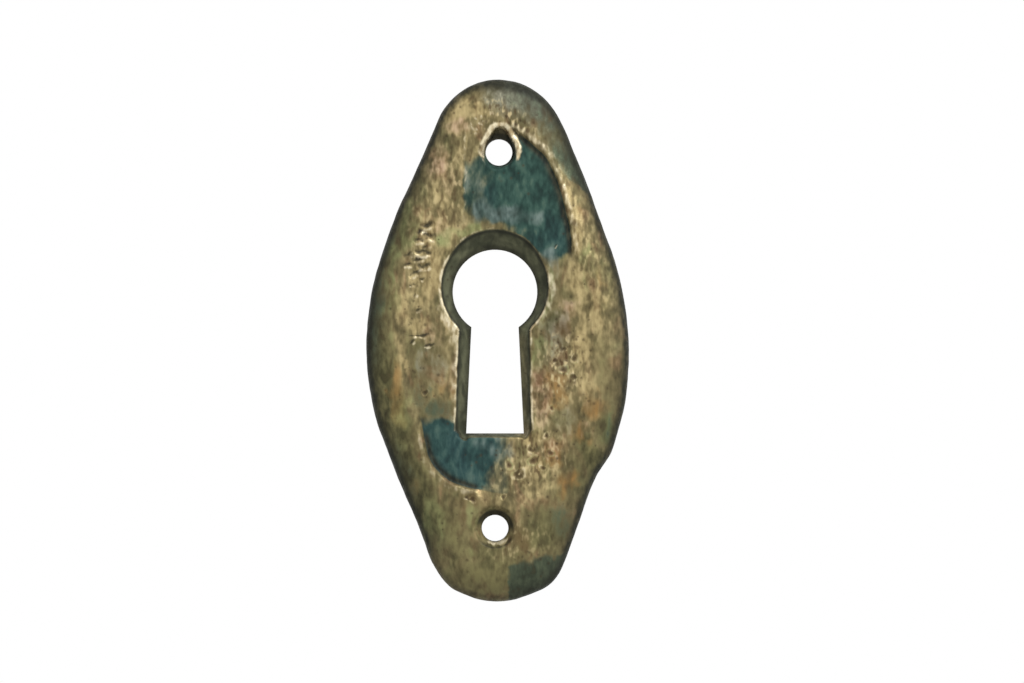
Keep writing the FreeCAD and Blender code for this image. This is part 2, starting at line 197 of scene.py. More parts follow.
# patches of these masks: strength, x, z, half width, half height, and a turn in degrees
PATCHES = {
    "bloom": [
        (0.95, 0.6, 12.1, 2.8, 0.9),
        (0.70, 5.0, 8.0, 1.6, 0.9, -20),
        (0.9, -1.5, 12.6, 1.1, 1.2),
        (0.5, 1.8, 18.2, 1.1, 1.3),
        (0.5, 2.6, 11.8, 2.6, 0.8),
        (0.65, -0.4, -10.6, 2.2, 1.0),
        (0.5, 5.0, 5.6, 0.6, 2.2),
    ],
    "green": [
        (0.70, -12.4, 2.2, 1.5, 6.0),
        (0.45, 11.0, -8.8, 0.8, 1.8, 15),
        (0.50, -9.3, -12.6, 1.2, 3.6, 25),
        (0.48, 6.3, -17.6, 1.6, 2.0),
        (0.50, -11.2, 9.0, 1.0, 5.0, -20),
        (0.45, -7.2, -6.0, 0.7, 3.5, 4),
    ],
    "gold": [
        (0.60, -5.2, 15.0, 1.9, 6.0, -22),
        (1.00, -3.8, 21.8, 1.5, 1.3),
        (1.00, -2.2, 22.4, 1.0, 0.9),
        (0.80, -3.2, 23.2, 0.9, 0.6, 35),
        (0.95, -1.5, 22.1, 1.2, 0.9),
        (0.60, 2.2, 20.6, 1.2, 0.8),
        (0.95, -5.4, 17.5, 0.9, 1.5, -22),
        (0.95, 7.9, 6.0, 1.3, 2.2, 12),
        (0.90, 9.8, 3.2, 1.0, 2.8, 5),
        (1.00, 8.8, -5.4, 1.0, 3.0, 8),
        (1.10, 5.4, -1.0, 0.8, 0.9),
        (0.90, -7.6, 1.3, 1.2, 0.9),
        (0.95, -5.6, 10.0, 2.2, 2.2),
        (1.15, 8.3, -0.6, 0.9, 2.4),
        (1.00, -4.6, 1.6, 0.9, 1.2),
        (0.80, -9.2, 3.0, 0.8, 2.2),
        (0.75, -9.4, -2.5, 0.7, 3.2, 3),
        (0.90, -3.7, 20.4, 1.3, 0.9),
        (1.00, 3.3, -9.8, 1.3, 1.0),
        (0.85, -6.9, 6.6, 1.3, 4.2, -10),
        (1.25, -6.2, 6.4, 1.4, 2.4, -8),
        (0.90, 7.9, 9.4, 0.8, 1.4, 18),
        (0.65, 8.8, 2.0, 1.2, 5.5),
        (0.65, 4.2, -13.6, 2.4, 1.8, 35),
        (0.60, -5.7, 3.5, 0.8, 3.5),
        (0.55, 6.0, -4.6, 2.2, 3.0),
    ],
    "olive": [
        (1.05, -11.2, -5.0, 1.6, 9.0, 5),
        (1.20, -8.4, -13.6, 1.8, 7.0, 28),
        (0.75, 0.0, -22.8, 5.5, 2.8),
        (0.75, -4.8, -18.5, 2.4, 3.0),
        (0.85, 4.6, -18.4, 2.4, 2.8),
        (0.70, -9.8, 9.5, 1.4, 6.5, -22),
        (0.55, 3.0, -21.5, 1.5, 1.4),
        (0.85, 1.9, 23.7, 3.4, 1.4, -14),
        (0.50, 10.8, -6.5, 1.0, 3.5, 12),
        (1.00, 9.4, -12.3, 1.1, 4.6, 24),
        (0.45, -7.0, -3.2, 1.5, 3.2),
        (0.80, -7.2, -0.7, 1.9, 0.8),
        (1.00, -9.7, -7.2, 1.5, 4.6, 14),
        (0.60, -7.2, -13.0, 1.0, 2.6, 30),
        (0.80, 10.1, -8.2, 1.0, 2.4, 14),
        (0.80, 7.6, -13.2, 1.4, 2.6, 25),
        (0.60, 6.2, -14.9, 1.7, 1.0),
        (0.75, -1.2, -20.3, 3.0, 1.2),
        (1.00, 5.5, 1.9, 1.2, 1.1),
        (0.70, 6.8, 4.4, 0.9, 1.0),
        (0.60, -8.2, -3.2, 0.8, 4.2, 3),
        (0.70, -3.9, 15.0, 0.8, 1.4),
        (0.40, 10.2, -1.8, 0.7, 4.0, 4),
    ],
    "orange": [
        (0.85, 6.8, -13.7, 1.1, 1.5, -20),
        (0.95, 9.0, -6.5, 1.3, 1.6),
        (0.65, -9.6, -5.6, 0.9, 4.0, 6),
        (0.40, -5.0, -5.0, 1.6, 1.8),
        (0.45, 10.2, 6.2, 0.9, 3.2, 12),
        (0.40, -7.7, -14.3, 1.0, 1.2),
        (0.35, 8.5, 12.8, 0.8, 1.6),
        (0.70, 5.3, -4.4, 1.6, 2.6),
        (0.65, 5.2, -11.2, 1.8, 1.6),
        (0.75, 8.2, -8.8, 1.4, 1.4),
    ],
    "pink": [
        (0.65, 4.3, -5.3, 1.1, 3.6),
        (0.50, -4.6, 15.6, 1.3, 2.6),
        (0.75, -5.5, 17.3, 1.0, 1.9, -22),
        (0.50, 4.6, -10.6, 1.8, 1.4),
        (0.80, 4.1, -3.8, 0.9, 1.5),
        (0.70, -3.7, 20.6, 1.3, 0.9),
        (0.50, -5.4, 10.6, 1.2, 1.4),
        (0.50, 8.4, -6.0, 0.9, 1.2),
        (0.45, -5.9, 0.6, 1.4, 2.4),
        (0.45, 6.6, 1.8, 1.8, 3.5),
        (0.50, 8.6, -8.7, 1.1, 1.3),
    ],
    "grey": [
        (0.60, 5.3, -0.2, 2.0, 3.2),
        (0.50, -6.6, -2.4, 1.8, 2.0),
        (0.85, 2.2, 23.2, 4.2, 1.9, -15),
        (0.40, 6.8, -7.8, 1.8, 2.0),
        (0.50, 5.3, 5.6, 1.0, 2.8),
        (0.45, 4.0, 8.6, 1.2, 1.0),
    ],
    "lime": [
        (0.60, -5.0, 9.6, 1.6, 1.0, 30),
        (0.85, -2.4, 10.6, 1.6, 0.7, 30),
        (0.60, 9.0, 7.4, 1.1, 2.2),
        (0.60, 5.2, 5.2, 0.7, 2.0),
        (0.85, 4.0, -0.6, 1.1, 2.2),
        (0.55, -10.4, 5.0, 1.2, 5.0),
        (0.70, -9.0, 10.4, 1.1, 4.0, -22),
        (0.50, -8.9, -8.0, 1.3, 3.5),
        (0.50, -6.4, -17.5, 1.8, 3.0),
        (0.60, -2.2, -18.0, 0.9, 2.4),
        (0.75, 10.8, -8.6, 0.7, 1.6, 14),
    ],
    "flecks": [
        (0.9, 6.4, -2.4, 2.0, 2.8),
        (0.8, 3.0, -11.6, 3.2, 2.4, 30),
        (1.0, 1.4, 21.2, 3.2, 1.3, -28),
        (0.5, -5.0, 14.0, 2.2, 7.0, -20),
        (0.5, 4.2, -6.0, 1.4, 3.6),
        (0.5, 2.0, -19.6, 2.6, 1.6),
        (0.3, 8.6, 8.0, 1.6, 6.0, 14),
    ],
    "blue": [
        (0.5, 5.2, 9.5, 1.6, 2.2),
        (0.4, -1.0, 14.2, 1.0, 1.0),
    ],
}
# patches of the front alone: rust, pits with rust in them, bright chips, and rubbed metal with a painted
# highlight by the keyhole
RUST = [
    (0.9, 2.5, -19.6, 0.7, 1.2),
    (0.8, -1.8, -15.4, 1.4, 0.7),
    (0.9, 6.5, 1.1, 0.6, 0.8),
]
RUSTY_PITS = [
    (0.8, 6.8, -2.4, 1.8, 2.2),
    (1.0, 3.0, -12.0, 3.4, 3.0),
]
CHIPS = [
    (0.75, -1.9, 20.7, 0.7, 0.6),
    (0.75, -0.8, 21.7, 1.0, 0.4),
]
KEY_SHINE = [
    (0.74, -4.0, -3.0, 1.2, 6.5),
    (0.80, -5.0, 5.0, 1.0, 4.6),
    (0.85, -3.6, 1.2, 1.2, 1.6),
    (0.95, 3.3, 1.2, 0.8, 1.2),
    (0.60, 5.0, 5.5, 0.9, 2.0),
    (0.55, 3.6, -6.0, 0.7, 4.0),
]

# where the keyhole's rim is worn back or chipped, as a patch; its strength is a distance
KEY_NIBBLES = [
    (0.20, -3.55, -8.9, 0.8, 0.9),
    (0.16, 3.1, 1.0, 0.6, 0.7),
    (0.10, -3.2, 0.8, 0.6, 0.8),
    (0.12, 2.7, -9.0, 0.5, 0.5),
]

# stains of the back: mask, strength, noise from and to, size of the noise, its seed
BACK_STAINS = [
    ("teal", 0.45, 0.40, 0.8, 7.0, 23),
    ("green", 0.50, 0.0, 0.8, 5.0, 24),
    ("gold", 0.60, 0.1, 0.6, 6.0, 25),
]


# noise and soft shapes

def smooth_step(low, high, value):
    t = np.clip((value - low) / (high - low), 0.0, 1.0)
    return t * t * (3.0 - 2.0 * t)


def mix(a, b, share):
    return a + (b - a) * share


def lattice(cells, seed):
    """A fixed random number from -1 to 1 for each cell of a grid."""
    mixed = (cells[..., 0] * 73856093) ^ (cells[..., 1] * 19349663) ^ (cells[..., 2] * 83492791)
    mixed = (mixed ^ (seed * 2654435761)) & 0xFFFFFFFF
    mixed = ((mixed ^ (mixed >> 15)) * 2246822519) & 0xFFFFFFFF
    mixed = ((mixed ^ (mixed >> 13)) * 3266489917) & 0xFFFFFFFF
    return ((mixed ^ (mixed >> 16)) & 0xFFFFFF) / 8388607.5 - 1.0


def noise(points, size, seed):
    """Smooth noise from -1 to 1 with blobs of the given size."""
    spot = points / size + 0.37 * seed
    cell = np.floor(spot).astype(np.int64)
    part = spot - cell
    ease = part * part * part * (part * (part * 6.0 - 15.0) + 10.0)
    total = np.zeros(len(points))
    for corner in range(8):
        bits = np.array([corner & 1, (corner >> 1) & 1, (corner >> 2) & 1])
        weight = np.prod(np.where(bits == 1, ease, 1.0 - ease), axis=1)
        total += weight * lattice(cell + bits, seed)
    return total


def fractal(points, size, octaves, seed):
    """Noise with finer and finer blobs, still about -1 to 1."""
    total = np.zeros(len(points))
    height = 1.0
    whole = 0.0
    for octave in range(octaves):
        total += height * noise(points, size, seed + 7 * octave)
        whole += height
        size *= 0.5
        height *= 0.55
    return total / whole * 1.6


def ragged(points, amount, size, seed):
    """The same points pushed about in x and z, so that what is drawn with them gets a ragged edge."""
    moved = points.copy()
    moved[:, 0] += amount * fractal(points, size, 3, SEED + seed)
    moved[:, 2] += amount * fractal(points, size, 3, SEED + seed + 50)
    return moved


def oval(points, x, z, half_x, half_z, turn=0.0):
    """How far each point lies from an oval's centre, as a share of the way to its edge."""
    cos, sin = math.cos(math.radians(turn)), math.sin(math.radians(turn))
    dx, dz = points[:, 0] - x, points[:, 2] - z
    return np.hypot((dx * cos + dz * sin) / half_x, (dz * cos - dx * sin) / half_z)


def blot(points, x, z, half_x, half_z, turn=0.0, soft=0.75):
    """A patch from 0 outside to 1 inside."""
    return 1.0 - smooth_step(1.0 - soft, 1.0 + soft, oval(points, x, z, half_x, half_z, turn))


def past(points, x, z, facing, soft):
    """1 on the side of a line that it faces, 0 on the other; the line passes through (x, z)."""
    turn = math.radians(facing)
    way = (points[:, 0] - x) * math.cos(turn) + (points[:, 2] - z) * math.sin(turn)
    return smooth_step(-soft, soft, way)


def ridge(distance, width):
    """1 on a line, falling off on both sides of it."""
    return np.exp(-(distance / width) ** 2)


def patches(points, table):
    """The strongest of a table's patches at each point."""
    return np.maximum.reduce([strength * blot(points, *spot) for strength, *spot in table])


def flat(places):
    """Points in the plane of the back, from their (x, z)."""
    return np.column_stack([places[:, 0], np.zeros(len(places)), places[:, 1]])


# outlines, read from the frame

def back_loops(node):
    """The closed outlines of the plate's flat back, outermost first, as arrays of (x, z)."""
    names = {}
    corner_of = []
    for vertex in node.data.vertices:
        place = tuple(round(c / MM, 4) for c in vertex.co)
        corner_of.append(names.setdefault(place, len(names)))
    places = list(names)
    sides = set()
    for face in node.data.polygons:
        corners = [corner_of[i] for i in face.vertices]
        if max(abs(places[c][1]) for c in corners) < 1e-3:
            sides.update(zip(corners, corners[1:] + corners[:1]))
    following = {a: b for a, b in sides if (b, a) not in sides}
    loops = []
    while following:
        loop = [min(following)]
        here = following.pop(loop[0])
        while here != loop[0]:
            loop.append(here)
            here = following.pop(here)
        loops.append(np.array([(places[i][0], places[i][2]) for i in loop]))
    loops.sort(key=lambda loop: (-np.ptp(loop[:, 1]).round(1), loop[:, 1].mean()))
    return loops


def resampled(loop, step):
    """The same outline with evenly spaced points, keeping its sharp corners."""
    before = loop - np.roll(loop, 1, axis=0)
    after = np.roll(loop, -1, axis=0) - loop
    turn = np.arctan2(after[:, 1], after[:, 0]) - np.arctan2(before[:, 1], before[:, 0])
    turn = np.abs(np.angle(np.exp(1j * turn)))
    corners = list(np.flatnonzero(turn > math.radians(25))) or [0]
    points = []
    for first, last in zip(corners, corners[1:] + [corners[0] + len(loop)]):
        run = loop[np.arange(first, last + 1) % len(loop)]
        length = np.concatenate([[0.0], np.cumsum(np.hypot(*np.diff(run, axis=0).T))])
        count = max(2, int(round(length[-1] / step)))
        at = np.linspace(0.0, length[-1], count + 1)[:-1]
        points.append(np.column_stack([np.interp(at, length, run[:, 0]), np.interp(at, length, run[:, 1])]))
    return np.concatenate(points)


def inward(loop):
    """Unit normals of a loop that point into the metal."""
    along = np.roll(loop, -1, axis=0) - np.roll(loop, 1, axis=0)
    along /= np.hypot(along[:, 0], along[:, 1])[:, None]
    return np.column_stack([along[:, 1], -along[:, 0]])


def knocked(loop):
    """An outline with the small unevenness of hand filing and the named knocks."""
    points = flat(loop)
    push = 0.03 * fractal(points, 3.2, 2, SEED + 1) + 0.012 * fractal(points, 0.8, 2, SEED + 2)
    for x, z, amount, reach in OUTLINE_KNOCKS:
        push += amount * ridge(oval(points, x, z, reach, reach), 1.0)
    return loop - inward(loop) * push[:, None]


def inside(places, loop):
    """Which places lie within a closed outline."""
    x, z = places[:, 0], places[:, 1]
    found = np.zeros(len(places), bool)
    for (x0, z0), (x1, z1) in zip(loop, np.roll(loop, -1, axis=0)):
        if z1 != z0:
            crosses = (z0 > z) != (z1 > z)
            found ^= crosses & (x < (x1 - x0) * (z - z0) / (z1 - z0) + x0)
    return found


def nearest_on(places, loop):
    """Distance from each place to an outline, and the number of the outline's nearest point."""
    tree = KDTree(len(loop))
    for index, (x, z) in enumerate(loop):
        tree.insert((x, z, 0.0), index)
    tree.balance()
    nearest = np.array([tree.find((x, z, 0.0))[1] for x, z in places])
    best = np.full(len(places), 1e9)
    for shift in (-1, 0):
        start = loop[(nearest + shift) % len(loop)]
        edge = loop[(nearest + shift + 1) % len(loop)] - start
        share = np.clip(np.sum((places - start) * edge, axis=1) / np.sum(edge * edge, axis=1), 0.0, 1.0)
        gap = places - start - edge * share[:, None]
        best = np.minimum(best, np.hypot(gap[:, 0], gap[:, 1]))
    return best, nearest


def keyhole_bevel(loop, node):
    """Width of the bevel round the keyhole and the height of its foot, for each point of the outline."""
    tree = BVHTree.FromPolygons([v.co / MM for v in node.data.vertices],
                                [tuple(f.vertices) for f in node.data.polygons])
    offsets = np.arange(0.03, 2.4, 0.03)
    width = np.zeros(len(loop))
    foot = np.zeros(len(loop))
    for index, (place, normal) in enumerate(zip(loop, inward(loop))):
        heights = []
        for offset in offsets:
            x, z = place + normal * offset
            hit = tree.ray_cast(Vector((x, -10.0, z)), Vector((0.0, 1.0, 0.0)))[0]
            heights.append(-hit.y if hit else 0.0)
        foot[index] = heights[0]
        width[index] = offsets[int(np.argmax(np.array(heights) > FIELD_FLOOR - 0.02))]
    for _ in range(3):
        width = (np.roll(width, 1) + width + np.roll(width, -1)) / 3
        foot = (np.roll(foot, 1) + foot + np.roll(foot, -1)) / 3
    return width, foot


# filling the outlines with triangles

def spread(loops, rings, step, room):
    """Places and triangles that fill the outlines: the loops first, then the rings, then a grid."""
    outer = loops[0]
    rise = step * math.sqrt(3) / 2
    rows = []
    for number, level in enumerate(np.arange(outer[:, 1].min(), outer[:, 1].max(), rise)):
        row = np.arange(outer[:, 0].min() + (number % 2) * step / 2, outer[:, 0].max(), step)
        rows.append(np.column_stack([row, np.full(len(row), level)]))
    kept = [np.concatenate(loops)]
    for group, gap in [(ring, 0.6 * step) for ring in rings] + [(np.concatenate(rows), room * step)]:
        group = group[inside(group, outer)]
        for hole in loops[1:]:
            group = group[~inside(group, hole)]
        so_far = np.concatenate(kept)
        tree = KDTree(len(so_far))
        for index, (x, z) in enumerate(so_far):
            tree.insert((x, z, 0.0), index)
        tree.balance()
        free = [tree.find((x, z, 0.0))[2] > gap for x, z in group]
        kept.append(group[np.array(free, bool)])
    points = np.concatenate(kept)
    edges = []
    first = 0
    for loop in loops:
        count = len(loop)
        edges += [(first + k, first + (k + 1) % count) for k in range(count)]
        first += count
    made = delaunay_2d_cdt([Vector(p) for p in points], edges, [], 1, 1e-7, False)
    places = np.array([tuple(v) for v in made[0]])
    faces = np.array(made[2])
    middle = places[faces].mean(axis=1)
    keep = inside(middle, outer)
    for hole in loops[1:]:
        keep &= ~inside(middle, hole)
    return places, faces[keep]


# the field and its lip

def field_distance(points):
    """Distance outside the field's uneven edge, negative inside it."""
    top = FIELD_TOP - FIELD_TOP_RADIUS
    bottom = FIELD_BOTTOM + FIELD_BOTTOM_RADIUS
    to_top = FIELD_SIDE_RADIUS - FIELD_TOP_RADIUS
    to_bottom = FIELD_SIDE_RADIUS - FIELD_BOTTOM_RADIUS
    between = top - bottom
    rise = (to_bottom ** 2 - to_top ** 2 + between ** 2) / (2 * between)
    shift = math.sqrt(to_bottom ** 2 - rise ** 2)
    x, z = np.abs(points[:, 0]), points[:, 2]
    side = np.hypot(x + shift, z - bottom - rise) - FIELD_SIDE_RADIUS
    cap = np.hypot(x, z - top) - FIELD_TOP_RADIUS
    foot = np.hypot(x, z - bottom) - FIELD_BOTTOM_RADIUS
    in_cap = np.arctan2(z - top, x) > math.asin((between - rise) / to_top)
    in_foot = np.arctan2(bottom - z, x) > math.asin(rise / to_bottom)
    distance = np.where(in_cap, cap, np.where(in_foot, foot, side))
    for x, z, push, reach in FIELD_SHIFTS:
        distance += push * ridge(oval(points, x, z, reach, reach), 1.0)
    return distance + 0.09 * fractal(points, 2.6, 3, SEED + 3)


def field_ring(offset, step):
    """The line round the field at a distance from its edge."""
    angles = np.linspace(0.0, 2 * math.pi, 720, endpoint=False)
    near, far = np.zeros(len(angles)), np.full(len(angles), 30.0)
    for _ in range(24):
        middle = (near + far) / 2
        spot = flat(np.column_stack([middle * np.cos(angles), FIELD_MIDDLE + middle * np.sin(angles)]))
        outside = field_distance(spot) > offset
        near, far = np.where(outside, near, middle), np.where(outside, middle, far)
    return resampled(np.column_stack([near * np.cos(angles), FIELD_MIDDLE + near * np.sin(angles)]), step)


def crispness(points):
    """How sharp the lip of the field still is: 1 as cast, 0 worn away."""
    x, z = points[:, 0], points[:, 2]
    right = smooth_step(0.5, 2.2, x) * smooth_step(6.6, 9.4, z)
    left = smooth_step(-1.2, -2.4, x) * smooth_step(-7.4, -10.4, z)
    flank = 0.34 * smooth_step(-5.0, -6.0, x) * smooth_step(4.0, 0.0, z)
    wander = 0.12 * fractal(points, 2.2, 2, SEED + 4)
    return np.clip(np.maximum(np.maximum(right, left), flank) + wander, 0.06, 1.0)


def rim_height(edge):
    """Height of the rim's section at a distance in from the outline."""
    round_in = np.clip(SHOULDER_ROUND - edge, 0.0, SHOULDER_ROUND)
    shoulder = SHOULDER_FOOT + np.sqrt(SHOULDER_ROUND ** 2 - round_in ** 2)
    slope = SLOPE_START + SLOPE_RISE * edge
    crest_in = np.clip(CREST_FROM - edge, 0.0, CREST_ROUND)
    crest = RIM_THICKNESS - CREST_ROUND + np.sqrt(CREST_ROUND ** 2 - crest_in ** 2)
    return np.where(edge < SLOPE_FROM, shoulder, np.where(edge < SLOPE_TO, slope, crest))


def lower_of(a, b, blend):
    """The lower of two heights, rounded where they meet."""
    share = np.clip(0.5 + 0.5 * (b - a) / blend, 0.0, 1.0)
    return mix(b, a, share) - blend * share * (1.0 - share)


def notch_distance(points, hole):
    """Distance outside the tear-shaped notch over the top screw hole."""
    x = np.abs(points[:, 0] - hole[0] - NOTCH_SHIFT)
    z = points[:, 2] - hole[1]
    lean = (NOTCH_RADIUS - NOTCH_TIP_RADIUS) / NOTCH_REACH
    level = math.sqrt(1.0 - lean * lean)
    across = z * level - x * lean
    flank = x * level + z * lean - NOTCH_RADIUS
    low = np.hypot(x, z) - NOTCH_RADIUS
    high = np.hypot(x, z - NOTCH_REACH) - NOTCH_TIP_RADIUS
    return np.where(across < 0.0, low, np.where(across > level * NOTCH_REACH, high, flank))


def close_by(points, x, z, reach):
    """Numbers of the points within a square round a place."""
    return np.flatnonzero((np.abs(points[:, 0] - x) < reach) & (np.abs(points[:, 2] - z) < reach))


def pitting(points):
    """Pits and open blisters: their relief, how deep in one each point lies, and how near a brink."""
    random = np.random.default_rng(SEED)
    relief = np.zeros(len(points))
    depth_in = np.zeros(len(points))
    brink = np.zeros(len(points))
    for count, (x0, x1), (z0, z1), largest in PIT_FIELDS:
        low, high = (x0, z0, SMALLEST_PIT, SHALLOWEST_PIT), (x1, z1, largest, DEEPEST_PIT)
        for x, z, radius, depth in random.uniform(low, high, (count, 4)):
            near = close_by(points, x, z, 2 * radius)
            reach = np.hypot(points[near, 0] - x, points[near, 2] - z) / radius
            relief[near] -= depth * np.exp(-1.6 * reach ** 2)
            depth_in[near] = np.maximum(depth_in[near], depth / DEEPEST_PIT * np.exp(-1.9 * reach ** 2))
    for x, z, radius in OPEN_BLISTERS:
        near = close_by(points, x, z, 3 * radius)
        turn = np.arctan2(points[near, 2] - z, points[near, 0] - x)
        wobble = 1.0 + 0.16 * np.sin(2 * turn + 9 * x) + 0.10 * np.sin(3 * turn + 5 * z)
        reach = np.hypot(points[near, 0] - x, points[near, 2] - z) / (radius * wobble)
        hollow = np.exp(-3.4 * reach ** 2)
        if (x, z, radius) == OPEN_BLISTERS[0]:
            core = np.exp(-16.0 * reach ** 2)
            hollow = np.clip(1.25 * hollow - 1.6 * core, 0.0, 1.0)
            brink[near] = np.maximum(brink[near], 1.1 * core)
        relief[near] += 0.06 * np.exp(-12.0 * (reach - 0.95) ** 2) - 0.15 * hollow
        depth_in[near] = np.maximum(depth_in[near], 1.1 * hollow)
        brink[near] = np.maximum(brink[near], np.exp(-14.0 * (reach - 0.95) ** 2))
    return relief, np.clip(depth_in, 0.0, 1.0), brink


def gouging(points):
    """Gouges: their relief, their dark bottoms and the bright metal thrown up beside them."""
    relief = np.zeros(len(points))
    bottom = np.zeros(len(points))
    burr = np.zeros(len(points))
    rough = ragged(points, 0.16, 0.6, 60)
    worn = 0.85 + 0.45 * fractal(points, 0.5, 2, SEED + 17)
    for x, z, length, direction, width, depth in GOUGES:
        cos, sin = math.cos(math.radians(direction)), math.sin(math.radians(direction))
        dx, dz = rough[:, 0] - x, rough[:, 2] - z
        along, across = dx * cos + dz * sin, dz * cos - dx * sin
        taper = np.clip(1.0 - (2.0 * along / length) ** 2, 0.0, 1.0)
        cut = ridge(across, 0.5 * width) * np.sqrt(taper)
        bank = ridge(across + 0.95 * width, 0.45 * width) * np.sqrt(taper)
        relief += 0.16 * depth * bank - 1.2 * depth * cut
        bottom = np.maximum(bottom, 0.95 * smooth_step(0.05, 0.85, cut * worn))
        burr = np.maximum(burr, bank * worn)
    return relief, bottom, burr


# the front

class Front:
    """The worn front: its points' heights, and how they lie to its edge, field, keyhole, holes and pits."""

    def __init__(self, places, loops, bevel):
        self.points = flat(places)
        self.edge = nearest_on(places, loops[0])[0]
        self.key_gap, nearest = nearest_on(places, loops[1])
        width, foot = bevel
        self.bevel_width = width[nearest] * self.bevel_wear()
        self.bevel_foot = foot[nearest]
        self.holes = [loop.mean(axis=0) for loop in loops[2:]]
        self.hole_gaps = [np.hypot(*(places - hole).T) for hole in self.holes]
        self.field = field_distance(self.points)
        self.crisp = crispness(self.points)
        self.notch = notch_distance(self.points, self.holes[1])
        self.pit_relief, self.pit, self.brink = pitting(self.points)
        self.gouge_relief, self.gouge, self.gouge_burr = gouging(self.points)
        self.height = self.shaped()

    def bevel_wear(self):
        """How much wider the bevel is at the top and on the slot's left, and narrower low on its right."""
        points = self.points
        wider = 0.22 * blot(points, 0.0, 10.0, 4.0, 2.0) + 0.16 * blot(points, -3.8, -4.0, 1.4, 5.5)
        return 1.0 + wider - 0.18 * blot(points, 3.2, -8.0, 1.2, 4.0)

    def shaped(self):
        """Heights of the rim and the field with its lip, uneven and pitted, then of the openings in them."""
        points = self.points
        wall = mix(WORN_WALL, CRISP_WALL, self.crisp ** 0.5)
        sunk = 1.0 - smooth_step(-0.35 * wall, 0.65 * wall, self.field)
        height = rim_height(self.edge) - FIELD_DEPTH * sunk
        on_lip = ridge(self.field - 0.40, 0.24) * self.crisp
        under_lip = ridge(self.field + 0.16, 0.18) * self.crisp
        height += 0.015 * on_lip - 0.06 * under_lip
        waves = 0.036 * fractal(points, 6.0, 2, SEED + 5) + 0.022 * fractal(points, 2.4, 2, SEED + 6)
        height += smooth_step(0.0, 0.5, self.edge) * waves
        height += 0.016 * fractal(points, 0.8, 3, SEED + 7) + 0.008 * noise(points, 0.3, SEED + 8)
        height += self.pit_relief + self.gouge_relief + self.burrs()
        height = np.minimum(height, RIM_THICKNESS + 0.03 + 0.04 * on_lip)
        return self.cut_openings(height)

    def burrs(self):
        """Metal raised round the notch, the lower hole and the keyhole."""
        points = self.points
        chunky = 0.42 + 0.12 * fractal(points, 0.9, 2, SEED + 16)
        uneven = 0.11 + 0.07 * fractal(points, 0.7, 2, SEED + 9)
        round_notch = ridge(self.notch - chunky, 0.24) * uneven
        round_hole = 0.03 * ridge(self.hole_gaps[0] - SINK_RADIUS - 0.2, 0.2)
        round_key = 0.02 * ridge(self.key_gap - self.bevel_width - 0.16, 0.14)
        return round_notch + round_hole + round_key

    def cut_openings(self, height):
        """Heights with the keyhole's bevel, the countersinks and the notch cut into them."""
        points = self.points
        nibble = patches(ragged(points, 0.06, 0.6, 15), KEY_NIBBLES)
        nibble += 0.05 * fractal(points, 0.9, 3, SEED + 10)
        rise = np.clip((self.key_gap - nibble) / self.bevel_width, -0.2, 3.0)
        bevel = mix(self.bevel_foot, FIELD_FLOOR, rise) + 0.018 * fractal(points, 0.9, 3, SEED + 12)
        height = lower_of(height, bevel, 0.07)
        wander = 0.05 * fractal(points, 0.9, 2, SEED + 13)
        for hole in self.holes:
            sunk_in = np.hypot(points[:, 0] - hole[0], points[:, 2] - hole[1] - SINK_SHIFT)
            height = lower_of(height, FIELD_FLOOR - (SINK_RADIUS - sunk_in) + wander, 0.05)
        notch_floor = FIELD_FLOOR - NOTCH_DEPTH
        dish = notch_floor + 5.0 * (self.notch + 0.06 + wander)
        floor = notch_floor + 0.04 * fractal(points, 0.6, 2, SEED + 14)
        return lower_of(height, np.maximum(dish, floor), 0.05)


def softened(height, faces, count, fixed):
    """Heights after a few passes of averaging with their neighbours."""
    pairs = np.concatenate([faces[:, [0, 1]], faces[:, [1, 2]], faces[:, [2, 0]]])
    pairs = np.concatenate([pairs, pairs[:, ::-1]])
    degree = np.bincount(pairs[:, 0], minlength=len(height))
    for _ in range(count):
        around = np.bincount(pairs[:, 0], weights=height[pairs[:, 1]], minlength=len(height)) / degree
        height = np.where(fixed, height, mix(height, around, 0.4))
    return height


# masks for the material, from the places of the patches in the photograph

